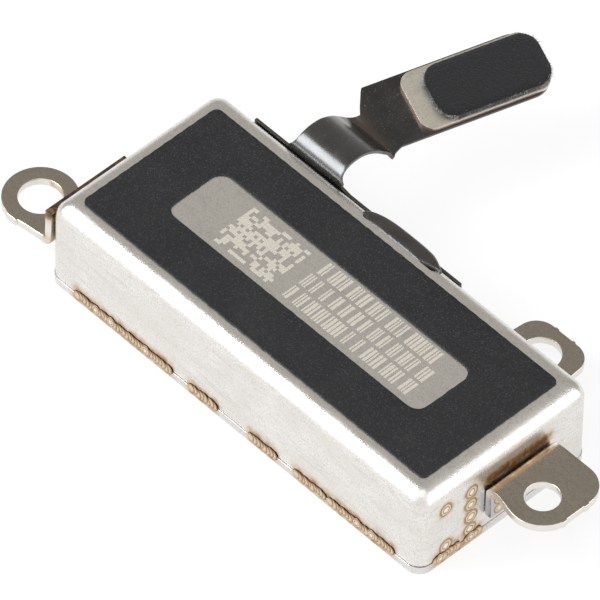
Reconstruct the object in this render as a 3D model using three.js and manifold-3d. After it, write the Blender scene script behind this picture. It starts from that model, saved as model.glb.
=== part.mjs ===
// Linear resonant haptic motor for a hand-held device.
// A drawn steel can is laser-welded to a flat base plate. Inside, a heavy mass with three magnets
// hangs on two folded leaf springs between four flat coils, and slides along X. Three welded ears
// fasten the motor, and a flat flexible circuit carries it to a board-to-board plug.
//
// Millimetres, +Z up. The origin is the centre of the base plate's underside; +X is the long way.

import * as THREE from "three";
import { mergeVertices } from "three/addons/utils/BufferGeometryUtils.js";
import Module from "manifold-3d";

const wasm = await Module();
wasm.setup();

// ---------- driving dimensions ----------

const GAP = 0.03; // clearance between pieces that are welded, glued or stacked

const caseLength = 23.0;
const caseWidth = 10.0;
const caseHeight = 4.85;
const caseCorner = 0.7; // vertical edges
const topBend = 0.89; // bend between the walls and the top
const wall = 0.3;
const baseThickness = 0.4;
const baseLip = 0.03; // the base stands this far beyond the can

const exitX = [-2.1, 2.6]; // notch in the rear top edge where the flexible circuit leaves
const exitY = 4.35;
const exitZ = 3.7;

const labelLength = 21.1;
const labelWidth = 7.96;
const labelThickness = 0.06;
const labelCorner = 0.3;
const windowLength = 15.55;
const windowWidth = 3.32;
const windowCorner = 0.6;

const earSheet = 0.4;
const earBend = 0.44; // outside of the bend between an ear's leg and its tongue
const earStub = 0.3; // straight length of tongue next to the bend

// Each ear is drawn in its own frame: x outwards from the case, y to the left of that, z up.
// turn is the ear's heading in degrees from +X. The leg reaches from the tongue to legEnd, and
// nibs are the stubs of the tie bars that held the ear in its strip: [x, y] spans on the edge.
const rightEar = {
  turn: 0, legX: caseLength / 2 + GAP, across: [-1.2, 2.7], top: 3.1, legEnd: 1.25,
  tongue: [[12.1, -1.2], [13.4, -1.48], [13.57, 0.13], [15.16, 0.13], [15.16, 2.72], [12.1, 2.7]],
  radii: [0, 0, 0, 0, 1.3, 0], hole: [13.59, 0.14], holeRadius: 0.79, eyeRadius: 1.62,
  nibs: [[[14.9, 15.22], [-0.25, 0.05]], [[14.9, 15.22], [1.05, 1.35]]],
};
const leftEar = {
  turn: 180, legX: caseLength / 2 + GAP, across: [0.2, 4.82], top: 2.1, legEnd: 3.84,
  tongue: [[12.1, 1.8], [13.76, 1.7], [13.76, 5.0], [12.1, 4.86]],
  radii: [0, 0, 0, 0], hole: [13.76, 3.38], holeRadius: 0.99, eyeRadius: 1.71,
  nibs: [[[13.45, 14.1], [4.8, 5.1]]],
};
const rearEar = {
  turn: 90, legX: caseWidth / 2 + GAP, across: [-8.58, -4.82], top: 1.2, legEnd: 3.2,
  tongue: [[5.6, -8.58], [8.3, -8.45], [8.3, -4.95], [5.6, -4.82]],
  radii: [0, 1.0, 1.0, 0], hole: [6.8, -6.7], holeRadius: 0.92, eyeRadius: 1.3,
  nibs: [[[8.2, 8.36], [-7.6, -7.35]], [[8.2, 8.36], [-6.05, -5.8]]],
};

const flexThickness = 0.15;
const bandX = [-9.3, 3.4];
const bandZ = [2.3, 4.36];
const neckX = [-6.93, -4.19];
const neckPath = [
  [5.13, 4.42], [5.3, 4.74], [5.62, 4.98], [6.1, 5.1], [6.7, 5.04], [7.3, 4.74], [7.8, 4.32], [8.25, 3.9],
];

const tailOrigin = [-5.43, 8.51, 3.75]; // middle of the crease where the wide head starts
const tailYaw = -17;
const tailPitch = 5;
const tailRoll = 11;
const headU = [-2.42, 0.87]; // across the tail, in the head's own frame
const headV = [0.5, 8.45]; // along the tail
const headCorner = 1.1;
const stiffenerThickness = 0.2;
const foamThickness = 0.34;
const plugSize = [1.9, 4.2, 0.6];
const plugCentre = [-0.82, 5.5];
const contactCount = 8;
const contactPitch = 0.4;

const massLength = 14.8;
const massWidth = 8.4;
const massZ = [1.25, 3.65];
const magnetLength = 2.8; // along X
const magnetWidth = 7.0;
const magnetPitch = 4.6;
const magnetFit = 0.03;

const coilLength = 4.7; // along X
const coilWidth = 8.0;
const coilBundle = 1.4;
const coilThickness = 0.5;
const coilX = 2.5;
const coilFlexThickness = 0.1;
const coilFlexLength = 11.0;
const coilFlexWidth = 8.6;

const springLeaf = 0.15;
const springZ = [1.4, 3.5];
const clipThickness = 0.15;

// ---------- shapes ----------

const radians = (degrees) => (degrees * Math.PI) / 180;

// Closed outline through a list of [x, y], with a corner radius for each point.
function roundedOutline(points, radii) {
  const shape = new THREE.Path();
  const count = points.length;
  points.forEach((point, i) => {
    const corner = new THREE.Vector2(...point);
    const before = new THREE.Vector2(...points[(i + count - 1) % count]).sub(corner);
    const after = new THREE.Vector2(...points[(i + 1) % count]).sub(corner);
    const radius = Array.isArray(radii) ? radii[i] : radii;
    const halfTurn = Math.acos(before.clone().normalize().dot(after.clone().normalize())) / 2;
    const reach = radius / Math.tan(halfTurn);
    const start = corner.clone().addScaledVector(before.normalize(), reach);
    const end = corner.clone().addScaledVector(after.normalize(), reach);
    if (i === 0) shape.moveTo(start.x, start.y);
    else shape.lineTo(start.x, start.y);
    if (radius > 0) {
      const inward = before.clone().add(after).normalize();
      const centre = corner.clone().addScaledVector(inward, radius / Math.sin(halfTurn));
      const from = Math.atan2(start.y - centre.y, start.x - centre.x);
      const to = Math.atan2(end.y - centre.y, end.x - centre.x);
      const clockwise = Math.sin(to - from) < 0;
      shape.absarc(centre.x, centre.y, radius, from, to, clockwise);
    }
  });
  shape.closePath();
  return shape;
}

const rectangle = (x0, x1, y0, y1) => [[x0, y0], [x1, y0], [x1, y1], [x0, y1]];

const centredRectangle = (length, width) => rectangle(-length / 2, length / 2, -width / 2, width / 2);

const circle = (x, y, radius) => new THREE.Path().absarc(x, y, radius, 0, 2 * Math.PI, false);

// Flat piece from an outline and its holes, from z0 to z1.
function slab(outline, holes, z0, z1, curveSegments = 3) {
  const shape = new THREE.Shape(outline.getPoints(curveSegments));
  shape.holes = holes;
  const geometry = new THREE.ExtrudeGeometry(shape, { depth: z1 - z0, bevelEnabled: false, curveSegments });
  geometry.translate(0, 0, z0);
  return geometry;
}

function block(x, y, z) {
  const geometry = new THREE.BoxGeometry(x[1] - x[0], y[1] - y[0], z[1] - z[0]);
  geometry.translate((x[0] + x[1]) / 2, (y[0] + y[1]) / 2, (z[0] + z[1]) / 2);
  return geometry;
}

// Outline of a strip of even thickness along a line of [x, y] points.
function stripOutline(points, thickness) {
  const left = [];
  const right = [];
  points.forEach((point, i) => {
    const here = new THREE.Vector2(...point);
    const next = new THREE.Vector2(...points[Math.min(i + 1, points.length - 1)]);
    const last = new THREE.Vector2(...points[Math.max(i - 1, 0)]);
    const along = next.sub(last).normalize();
    const across = new THREE.Vector2(-along.y, along.x).multiplyScalar(thickness / 2);
    left.push(here.clone().add(across));
    right.unshift(here.clone().sub(across));
  });
  return new THREE.Path([...left, ...right]);
}

// Profile drawn in Y and Z, carried along X.
function acrossX(outline, x0, x1) {
  const geometry = slab(outline, [], 0, x1 - x0);
  geometry.applyMatrix4(new THREE.Matrix4().set(0, 0, 1, x0, 1, 0, 0, 0, 0, 1, 0, 0, 0, 0, 0, 1));
  return geometry;
}

// Profile drawn in X and Z, carried along Y.
function acrossY(outline, y0, y1) {
  const geometry = slab(outline, [], 0, y1 - y0);
  geometry.applyMatrix4(new THREE.Matrix4().set(1, 0, 0, 0, 0, 0, -1, y1, 0, 1, 0, 0, 0, 0, 0, 1));
  return geometry;
}

// Block with upright rounded corners whose top edge is bent over by an arc.
function drawnBlock(length, width, z0, z1, corner, bend, cornerSteps = 5, bendSteps = 6) {
  const rings = [[z0, 0]];
  for (let i = 0; i <= bendSteps; i += 1) {
    const angle = (i / bendSteps) * (Math.PI / 2);
    rings.push([z1 - bend + bend * Math.sin(angle), bend * (1 - Math.cos(angle))]);
  }
  const positions = [];
  const ringSize = 4 * (cornerSteps + 1);
  rings.forEach(([z, inset]) => {
    const radius = Math.max(corner * (1 - inset / bend), 0.08);
    for (let quadrant = 0; quadrant < 4; quadrant += 1) {
      const sx = quadrant === 0 || quadrant === 3 ? 1 : -1;
      const sy = quadrant < 2 ? 1 : -1;
      for (let step = 0; step <= cornerSteps; step += 1) {
        const angle = ((quadrant + step / cornerSteps) * Math.PI) / 2;
        positions.push(sx * (length / 2 - inset - radius) + radius * Math.cos(angle));
        positions.push(sy * (width / 2 - inset - radius) + radius * Math.sin(angle));
        positions.push(z);
      }
    }
  });
  const indices = [];
  for (let ring = 0; ring + 1 < rings.length; ring += 1) {
    for (let i = 0; i < ringSize; i += 1) {
      const a = ring * ringSize + i;
      const b = ring * ringSize + ((i + 1) % ringSize);
      indices.push(a, b, b + ringSize, a, b + ringSize, a + ringSize);
    }
  }
  const lastRing = (rings.length - 1) * ringSize;
  for (let i = 1; i + 1 < ringSize; i += 1) {
    indices.push(0, i + 1, i);
    indices.push(lastRing, lastRing + i, lastRing + i + 1);
  }
  const geometry = new THREE.BufferGeometry();
  geometry.setAttribute("position", new THREE.Float32BufferAttribute(positions, 3));
  geometry.setIndex(indices);
  return geometry;
}

// ---------- joins and cuts ----------

function toManifold(geometry) {
  const plain = geometry.clone();
  plain.deleteAttribute("normal");
  plain.deleteAttribute("uv");
  const merged = mergeVertices(plain, 1e-5);
  return new wasm.Manifold(new wasm.Mesh({
    numProp: 3,
    vertProperties: new Float32Array(merged.attributes.position.array),
    triVerts: new Uint32Array(merged.index.array),
  }));
}

function toGeometry(manifold) {
  const mesh = manifold.getMesh();
  const geometry = new THREE.BufferGeometry();
  geometry.setAttribute("position", new THREE.Float32BufferAttribute(mesh.vertProperties, 3));
  geometry.setIndex(new THREE.Uint32BufferAttribute(mesh.triVerts, 1));
  geometry.computeVertexNormals();
  return geometry;
}

const join = (...pieces) => toGeometry(pieces.map(toManifold).reduce((a, b) => a.add(b)));

const cut = (body, ...tools) => {
  const solids = tools.map(toManifold);
  return toGeometry(solids.reduce((a, b) => a.subtract(b), toManifold(body)));
};

// ---------- finishes ----------

const finish = (color, roughness, metalness) => () => (
  new THREE.MeshStandardMaterial({ color, roughness, metalness })
);

const drawnSteel = finish(0xd2cec8, 0.35, 1.0);
const earSteel = finish(0xa79c8c, 0.35, 1.0);
const stiffenerSteel = finish(0xb0a898, 0.45, 1.0);
const springSteel = finish(0xc4c6c8, 0.3, 1.0);
const labelBlack = finish(0x38383a, 0.8, 0.0);
const coverlay = finish(0x2c2a2b, 0.45, 0.0);
const foamBlack = finish(0x1b1c1e, 0.95, 0.0);
const plugPlastic = finish(0x2a2a2c, 0.6, 0.0);
const goldPlate = finish(0xd9b062, 0.3, 1.0);
const tungsten = finish(0x6f7176, 0.45, 1.0);
const nickelPlate = finish(0xc9cbcf, 0.2, 1.0);
const copperWire = finish(0xb4632f, 0.35, 1.0);
const amberFilm = finish(0x9a6a2a, 0.5, 0.0);
const rubber = finish(0x202020, 0.9, 0.0);
const chipEpoxy = finish(0x161618, 0.55, 0.0);

const motor = new THREE.Group();

function addPart(name, geometry, material, parent = motor) {
  const mesh = new THREE.Mesh(geometry, material());
  mesh.name = name;
  parent.add(mesh);
  return mesh;
}

// ---------- housing ----------

function basePlate() {
  const outline = roundedOutline(
    centredRectangle(caseLength + 2 * baseLip, caseWidth + 2 * baseLip),
    caseCorner + baseLip,
  );
  return slab(outline, [], 0, baseThickness);
}

function can() {
  const rim = baseThickness + GAP;
  const outside = drawnBlock(caseLength, caseWidth, rim, caseHeight, caseCorner, topBend);
  const inside = drawnBlock(
    caseLength - 2 * wall, caseWidth - 2 * wall, rim - 1, caseHeight - wall,
    caseCorner - wall, topBend - wall,
  );
  const slant = 0.25;
  const notch = slab(
    new THREE.Path([
      new THREE.Vector2(exitX[0] + slant, exitY),
      new THREE.Vector2(exitX[1] - slant, exitY),
      new THREE.Vector2(exitX[1] + slant, caseWidth / 2 + 1),
      new THREE.Vector2(exitX[0] - slant, caseWidth / 2 + 1),
    ]),
    [], exitZ, caseHeight + 1,
  );
  return cut(outside, inside, notch);
}

function labelFilm() {
  const z0 = caseHeight + GAP / 2;
  const opening = roundedOutline(centredRectangle(windowLength, windowWidth), windowCorner);
  return slab(
    roundedOutline(centredRectangle(labelLength, labelWidth), labelCorner),
    [opening], z0, z0 + labelThickness,
  );
}

addPart("base_plate", basePlate(), drawnSteel);
addPart("can", can(), drawnSteel);
addPart("label_film", labelFilm(), labelBlack);

// ---------- fastening ears ----------

// Bent profile of an ear in x and z: the leg against the wall, the bend, and a stub of the tongue.
function bentProfile({ legX, top, legEnd }) {
  const outer = legX + earSheet;
  const stubEnd = outer + earStub;
  const legDown = legEnd < top;
  const bendZ = legDown ? top : top - earSheet;
  const farZ = legDown ? top - earSheet : top;
  return roundedOutline(
    [[legX, legEnd], [legX, bendZ], [stubEnd, bendZ], [stubEnd, farZ], [outer, farZ], [outer, legEnd]],
    [0, earBend, 0, 0, 0.1, 0],
  );
}

function bentEar(ear) {
  const { across, top, tongue, radii, hole, holeRadius, eyeRadius, nibs } = ear;
  const leg = acrossY(bentProfile(ear), across[0], across[1]);
  const plate = slab(roundedOutline(tongue, radii), [], top - earSheet, top);
  const eye = slab(circle(hole[0], hole[1], eyeRadius), [], top - earSheet, top, 16);
  const stubs = nibs.map(([x, y]) => block(x, y, [top - earSheet, top]));
  const drill = slab(circle(hole[0], hole[1], holeRadius), [], top - 2 * earSheet, top + earSheet, 12);
  return cut(join(leg, plate, eye, ...stubs), drill);
}

const ears = { right_bracket: rightEar, left_bracket: leftEar, rear_bracket: rearEar };
Object.entries(ears).forEach(([name, ear]) => {
  addPart(name, bentEar(ear), earSteel).rotation.z = radians(ear.turn);
});

// ---------- flexible circuit ----------

// Folded tongue of the circuit that fills the notch, sealed over, and bulges beyond the wall.
function flexExit() {
  const insideY = exitY + 2 * GAP;
  const outsideY = caseWidth / 2 + 0.3;
  const profile = roundedOutline(
    [
      [insideY, exitZ + GAP], [caseWidth / 2 - GAP, exitZ + GAP], [caseWidth / 2 - GAP, bandZ[1] + GAP],
      [outsideY, bandZ[1] + GAP], [outsideY, caseHeight - 0.1], [insideY, caseHeight - 0.02],
    ],
    [0, 0, 0, 0.1, 0.25, 0.05],
  );
  const slantRoom = 0.15;
  return acrossX(profile, exitX[0] + slantRoom, exitX[1] - slantRoom);
}

function flexBand() {
  const outline = roundedOutline(
    [[bandX[0], bandZ[0]], [bandX[1], bandZ[0]], [bandX[1], bandZ[1]], [bandX[0], bandZ[1]]],
    [0.3, 0.3, 0.3, 0.1],
  );
  const y0 = caseWidth / 2 + GAP;
  return acrossY(outline, y0, y0 + flexThickness);
}

function flexNeck() {
  const spline = new THREE.SplineCurve(neckPath.map((point) => new THREE.Vector2(...point)));
  const points = spline.getPoints(24).map((point) => [point.x, point.y]);
  return acrossX(stripOutline(points, flexThickness), neckX[0], neckX[1]);
}

// The wide head narrows to the neck at its crease.
function flexHead() {
  const outline = roundedOutline(
    [
      [-1.2, -0.14], [1.27, 0.29], [headU[1], headV[0] + 0.4], [headU[1], headV[1]],
      [headU[0], headV[1]], [headU[0], headV[0]],
    ],
    [0, 0.1, 0.3, headCorner, headCorner, 0.1],
  );
  return slab(outline, [], -flexThickness / 2, flexThickness / 2, 4);
}

const tail = new THREE.Group();
tail.position.set(...tailOrigin);
tail.rotation.set(radians(tailPitch), radians(tailRoll), radians(tailYaw), "ZXY");
motor.add(tail);

const headTop = flexThickness / 2;
const stiffenerZ = [headTop + GAP, headTop + GAP + stiffenerThickness];
const foamZ = [stiffenerZ[1] + GAP, stiffenerZ[1] + GAP + foamThickness];

addPart("flex_exit", flexExit(), coverlay);
addPart("flex_band", flexBand(), coverlay);
addPart("flex_neck", flexNeck(), coverlay);
addPart("flex_head", flexHead(), coverlay, tail);
addPart(
  "stiffener_plate",
  slab(roundedOutline(rectangle(headU[0] + 0.16, headU[1] - 0.09, 2.05, 8.3), 0.65), [], ...stiffenerZ, 4),
  stiffenerSteel, tail,
);
addPart(
  "foam_pad",
  slab(roundedOutline(rectangle(headU[0] + 0.38, headU[1] - 0.16, 2.95, 8.2), 0.8), [], ...foamZ, 4),
  foamBlack, tail,
);

// ---------- board-to-board plug under the head ----------

const plug = new THREE.Group();
plug.position.set(plugCentre[0], plugCentre[1], -flexThickness / 2 - GAP);
tail.add(plug);

// The plug hangs below its group's origin: a floor, and a rim round a long recess.
function plugBody() {
  const [width, length, height] = plugSize;
  const outside = slab(roundedOutline(centredRectangle(width, length), 0.12), [], -height, 0);
  const recess = slab(
    roundedOutline(centredRectangle(width - 0.8, length - 0.9), 0.1), [], -height - 1, -0.22,
  );
  return cut(outside, recess);
}

// One row of contacts: a thin rail with a finger at each pitch.
function contactRow(side) {
  const [width, , height] = plugSize;
  const inner = width / 2 + GAP;
  const rail = block([inner, inner + 0.06], [-1.55, 1.55], [-0.14, -0.02]);
  const fingers = [];
  for (let i = 0; i < contactCount; i += 1) {
    const y = (i - (contactCount - 1) / 2) * contactPitch;
    fingers.push(block([inner, inner + 0.07], [y - 0.09, y + 0.09], [-height + 0.02, -0.05]));
  }
  const row = join(rail, ...fingers);
  if (side < 0) row.rotateZ(Math.PI);
  return row;
}

function holdDown(end) {
  const [width, length, height] = plugSize;
  const near = length / 2 + GAP;
  const halfWidth = width / 2 - 0.25;
  const clip = block([-halfWidth, halfWidth], [near, near + 0.08], [-height + 0.05, -0.02]);
  if (end < 0) clip.rotateZ(Math.PI);
  return clip;
}

addPart("plug_body", plugBody(), plugPlastic, plug);
addPart("contact_row_left", contactRow(-1), goldPlate, plug);
addPart("contact_row_right", contactRow(1), goldPlate, plug);
addPart("hold_down_near", holdDown(-1), goldPlate, plug);
addPart("hold_down_far", holdDown(1), goldPlate, plug);

// ---------- moving mass ----------

const magnets = { magnet_left: -1, magnet_centre: 0, magnet_right: 1 };

function massFrame() {
  const pockets = Object.values(magnets).map((place) => {
    const x = place * magnetPitch;
    const halfX = magnetLength / 2 + magnetFit;
    const halfY = magnetWidth / 2 + magnetFit;
    return roundedOutline(rectangle(x - halfX, x + halfX, -halfY, halfY), 0.02);
  });
  return slab(roundedOutline(centredRectangle(massLength, massWidth), 0.35), pockets, ...massZ, 2);
}

addPart("mass_frame", massFrame(), tungsten);
Object.entries(magnets).forEach(([name, place]) => {
  const outline = roundedOutline(centredRectangle(magnetLength, magnetWidth), 0.15);
  addPart(name, slab(outline, [], ...massZ, 2), nickelPlate).position.x = place * magnetPitch;
});

// ---------- springs at the two ends ----------

const endInsideX = caseLength / 2 - wall;
const massEndX = massLength / 2;
const padReach = 1.1; // half the height in Y of a welded pad
const padY = 2.9; // middle of both pads

// Folded leaf in X and Y: pad on the mass, arm to the fold, arm back, pad on the end wall.
function leafSpring() {
  const massPadX = massEndX + GAP + springLeaf / 2;
  const wallPadX = endInsideX - GAP - springLeaf / 2;
  const foldX = (massPadX + wallPadX) / 2;
  const foldY = -3.9;
  const foldRadius = 0.5;
  const points = [[massPadX, padY + padReach], [massPadX, padY - padReach], [massPadX + 0.25, 1.0]];
  for (let i = 0; i <= 8; i += 1) {
    const angle = Math.PI + (i / 8) * Math.PI;
    points.push([foldX + foldRadius * Math.cos(angle), foldY + foldRadius + foldRadius * Math.sin(angle)]);
  }
  points.push([wallPadX - 0.25, 1.0], [wallPadX, padY - padReach], [wallPadX, padY + padReach]);
  const outline = stripOutline(points, springLeaf);
  return slab(outline, [], ...springZ);
}

// Plate welded over a spring pad, with its inner face at the pad.
function weldClip(x0) {
  return block([x0, x0 + clipThickness], [padY - 0.9, padY + 0.9], [springZ[0] + 0.2, springZ[1] - 0.2]);
}

function stopPad() {
  return block([massEndX + 1.35, endInsideX - 1.3], [0.9, 3.4], [springZ[0] + 0.1, springZ[1] - 0.1]);
}

// The left end is the right end turned half round, so the mass is held squarely.
const ends = { right: 0, left: 180 };
Object.entries(ends).forEach(([side, turn]) => {
  const end = new THREE.Group();
  end.rotation.z = radians(turn);
  motor.add(end);
  addPart(`spring_${side}`, leafSpring(), springSteel, end);
  addPart(`mass_clip_${side}`, weldClip(massEndX + 2 * GAP + springLeaf), springSteel, end);
  addPart(`wall_clip_${side}`, weldClip(endInsideX - 2 * GAP - springLeaf - clipThickness), springSteel, end);
  addPart(`stop_pad_${side}`, stopPad(), rubber, end);
});

// ---------- coils and their circuits ----------

function coil() {
  const opening = roundedOutline(
    centredRectangle(coilLength - 2 * coilBundle, coilWidth - 2 * coilBundle), 0.25,
  );
  return slab(roundedOutline(centredRectangle(coilLength, coilWidth), 1.6), [opening], 0, coilThickness);
}

const lowerFlexZ = [baseThickness + GAP, baseThickness + GAP + coilFlexThickness];
const upperFlexZ = [caseHeight - wall - GAP - coilFlexThickness, caseHeight - wall - GAP];
const lowerCoilZ = lowerFlexZ[1] + GAP;
const upperCoilZ = upperFlexZ[0] - GAP - coilThickness;

// Film on the base, with a riser against the rear wall up to the notch.
function lowerCoilFlex() {
  const film = slab(roundedOutline(centredRectangle(coilFlexLength, coilFlexWidth), 0.4), [], ...lowerFlexZ);
  const riserY = caseWidth / 2 - wall - 0.08;
  const riserX = [exitX[0] + 0.9, exitX[1] - 0.9];
  const floor = block(riserX, [coilFlexWidth / 2 - 0.2, riserY], lowerFlexZ);
  const riser = block(riserX, [riserY - coilFlexThickness, riserY], [lowerFlexZ[0], exitZ - GAP]);
  return join(film, floor, riser);
}

addPart("lower_coil_flex", lowerCoilFlex(), amberFilm);
addPart(
  "upper_coil_flex",
  slab(roundedOutline(centredRectangle(coilFlexLength, coilFlexWidth - 0.4), 0.4), [], ...upperFlexZ),
  amberFilm,
);
Object.entries({ left: -coilX, right: coilX }).forEach(([side, x]) => {
  addPart(`lower_coil_${side}`, coil(), copperWire).position.set(x, 0, lowerCoilZ);
  addPart(`upper_coil_${side}`, coil(), copperWire).position.set(x, 0, upperCoilZ);
});
addPart(
  "position_sensor",
  block([coilX - 0.45, coilX + 0.45], [-0.65, 0.65], [lowerCoilZ, lowerCoilZ + 0.38]),
  chipEpoxy,
);

export default motor;
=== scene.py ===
from math import acos, atan2, ceil, copysign, cos, degrees, exp, hypot, pi, radians, sin, sqrt, tan

import bmesh
import bpy
import numpy as np
from mathutils import Euler, Matrix, Vector
from mathutils.kdtree import KDTree


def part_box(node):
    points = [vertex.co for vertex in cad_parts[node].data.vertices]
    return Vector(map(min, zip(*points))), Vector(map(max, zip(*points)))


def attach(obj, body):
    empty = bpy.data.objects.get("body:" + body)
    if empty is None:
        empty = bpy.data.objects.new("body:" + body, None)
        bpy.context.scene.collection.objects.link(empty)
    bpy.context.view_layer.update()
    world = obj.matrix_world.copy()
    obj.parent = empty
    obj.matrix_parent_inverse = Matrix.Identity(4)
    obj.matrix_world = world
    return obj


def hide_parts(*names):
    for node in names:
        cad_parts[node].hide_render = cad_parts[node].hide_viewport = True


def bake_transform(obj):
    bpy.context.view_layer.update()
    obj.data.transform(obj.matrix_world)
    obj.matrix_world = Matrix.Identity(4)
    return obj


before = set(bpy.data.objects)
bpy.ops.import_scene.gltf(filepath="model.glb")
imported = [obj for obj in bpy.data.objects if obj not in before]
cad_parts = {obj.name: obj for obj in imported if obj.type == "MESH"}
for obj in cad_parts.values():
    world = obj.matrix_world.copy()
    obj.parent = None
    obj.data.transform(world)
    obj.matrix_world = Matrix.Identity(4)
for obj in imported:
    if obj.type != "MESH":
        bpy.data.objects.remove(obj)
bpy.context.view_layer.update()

# Lengths are in millimetres until finish_mesh() turns them into metres.
MM = 0.001
scene = bpy.context.scene
rng = np.random.default_rng(7)


def node_box(node):
    """The lowest and highest corner of a CAD node, in millimetres."""
    low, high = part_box(node)
    return np.array(low) / MM, np.array(high) / MM


# ---------- sizes, worked out from the frame ----------

can_low, can_high = node_box("can")
base_low, base_high = node_box("base_plate")
label_low, label_high = node_box("label_film")
band_low, band_high = node_box("flex_band")
CASE_X = can_high[0]
CASE_Y = can_high[1]
RIM_Z = can_low[2]
TOP_Z = can_high[2]
BASE_X = base_high[0]
BASE_Y = base_high[1]
BASE_TOP = base_high[2]
WALL = 0.3
TOP_BEND = 0.89
CASE_CORNER = 0.7
BEND_STEPS = 12
EAR_SHEET = 0.4
EAR_WALL_GAP = 0.03


# ---------- camera ----------

AZIMUTH = radians(45.33)
ELEVATION = radians(49.05)
ROLL = radians(1.56)
DISTANCE = 576.8
LENS = 808.8
AIM_RIGHT = -0.718
AIM_UP = 2.826

back = Vector((
    sin(AZIMUTH) * cos(ELEVATION),
    -cos(AZIMUTH) * cos(ELEVATION),
    sin(ELEVATION),
))
level = Vector((cos(AZIMUTH), sin(AZIMUTH), 0.0))
upward = back.cross(level)
right = level * cos(ROLL) + upward * sin(ROLL)
up = upward * cos(ROLL) - level * sin(ROLL)
camera_data = bpy.data.cameras.new("camera")
camera_data.lens = LENS
camera_data.sensor_width = 36.0
camera_data.clip_start = 0.01
camera = bpy.data.objects.new("camera", camera_data)
place = (right * AIM_RIGHT + up * AIM_UP + back * DISTANCE) * MM
camera.matrix_world = Matrix.Translation(place) @ Matrix((right, up, back)).transposed().to_4x4()
scene.collection.objects.link(camera)
scene.camera = camera


# ---------- materials ----------

class Nodes:
    """Adds nodes to a tree and links them."""

    def __init__(self, tree):
        self.tree = tree

    def put(self, socket, value):
        if isinstance(value, bpy.types.NodeSocket):
            self.tree.links.new(value, socket)
        else:
            socket.default_value = value

    def add(self, kind, settings=None, **inputs):
        node = self.tree.nodes.new(kind)
        for key, value in (settings or {}).items():
            setattr(node, key, value)
        for key, value in inputs.items():
            self.put(node.inputs[key.replace("_", " ")], value)
        return node

    def range(self, value, low, high, out_low=0.0, out_high=1.0):
        node = self.add("ShaderNodeMapRange", {"clamp": True}, Value=value, From_Min=low, From_Max=high)
        node.inputs["To Min"].default_value = out_low
        node.inputs["To Max"].default_value = out_high
        return node.outputs["Result"]

    def ramp(self, value, stops):
        node = self.add("ShaderNodeValToRGB", Fac=value)
        elements = node.color_ramp.elements
        elements[0].color = (*stops[0][1], 1.0)
        elements[1].color = (*stops[-1][1], 1.0)
        for position, color in stops[1:-1]:
            elements.new(position).color = (*color, 1.0)
        return node.outputs["Color"]


class Shader(Nodes):
    """A Principled material built up node by node."""

    def __init__(self, name, **sockets):
        self.material = bpy.data.materials.new(name)
        self.material.use_nodes = True
        super().__init__(self.material.node_tree)
        self.shader = self.tree.nodes["Principled BSDF"]
        for socket, value in sockets.items():
            self.shader.inputs[socket.replace("_", " ")].default_value = value

    def noise(self, size, detail=3.0, distortion=0.0, stretch=(1.0, 1.0, 1.0)):
        """Noise whose features are about size millimetres across."""
        coordinates = self.add("ShaderNodeTexCoord")
        mapping = self.add("ShaderNodeMapping", Vector=coordinates.outputs["Object"])
        mapping.inputs["Scale"].default_value = [s / size / MM for s in stretch]
        where = mapping.outputs["Vector"]
        node = self.add("ShaderNodeTexNoise", Vector=where, Scale=1.0, Detail=detail, Distortion=distortion)
        return node.outputs["Fac"]

    def attribute(self, name):
        return self.add("ShaderNodeAttribute", {"attribute_name": name}).outputs["Fac"]

    def mix(self, factor, a, b):
        node = self.add("ShaderNodeMix", {"data_type": "RGBA"})
        self.put(node.inputs[0], factor)
        self.put(node.inputs[6], a if isinstance(a, bpy.types.NodeSocket) else (*a, 1.0))
        self.put(node.inputs[7], b if isinstance(b, bpy.types.NodeSocket) else (*b, 1.0))
        return node.outputs[2]

    def math(self, operation, a, b):
        node = self.add("ShaderNodeMath", {"operation": operation})
        self.put(node.inputs[0], a)
        self.put(node.inputs[1], b)
        return node.outputs[0]

    def pattern(self, kind):
        """The attribute of that name, or the noise of that (size, detail, distortion)."""
        return self.attribute(kind) if isinstance(kind, str) else self.noise(*kind)

    def color(self, color, *layers):
        """Lays colours over the first one. A layer is (value, low, high, strength, colour)."""
        for value, low, high, strength, over in layers:
            color = self.mix(self.range(value, low, high, 0.0, strength), color, over)
        self.put(self.shader.inputs["Base Color"], color)

    def roughness(self, value, smooth, rough):
        """Lets the roughness follow a noise value."""
        self.put(self.shader.inputs["Roughness"], self.range(value, 0.3, 0.7, smooth, rough))

    def bump(self, *heights):
        """Each height is (value, millimetres)."""
        normal = None
        for value, height in heights:
            node = self.add("ShaderNodeBump", Height=value, Distance=height * MM)
            if normal is not None:
                self.put(node.inputs["Normal"], normal)
            normal = node.outputs["Normal"]
        self.put(self.shader.inputs["Normal"], normal)


# Temper colours of steel, from cool to hottest next to a weld.
HEAT_STOPS = [
    (0.0, (0.66, 0.54, 0.38)),
    (0.35, (0.52, 0.36, 0.2)),
    (0.65, (0.28, 0.16, 0.08)),
    (0.85, (0.14, 0.09, 0.08)),
    (1.0, (0.09, 0.07, 0.09)),
]
BLUED = (0.5, 0.51, 0.6)


def darker(color, share):
    return tuple(share * part for part in color)


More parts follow.
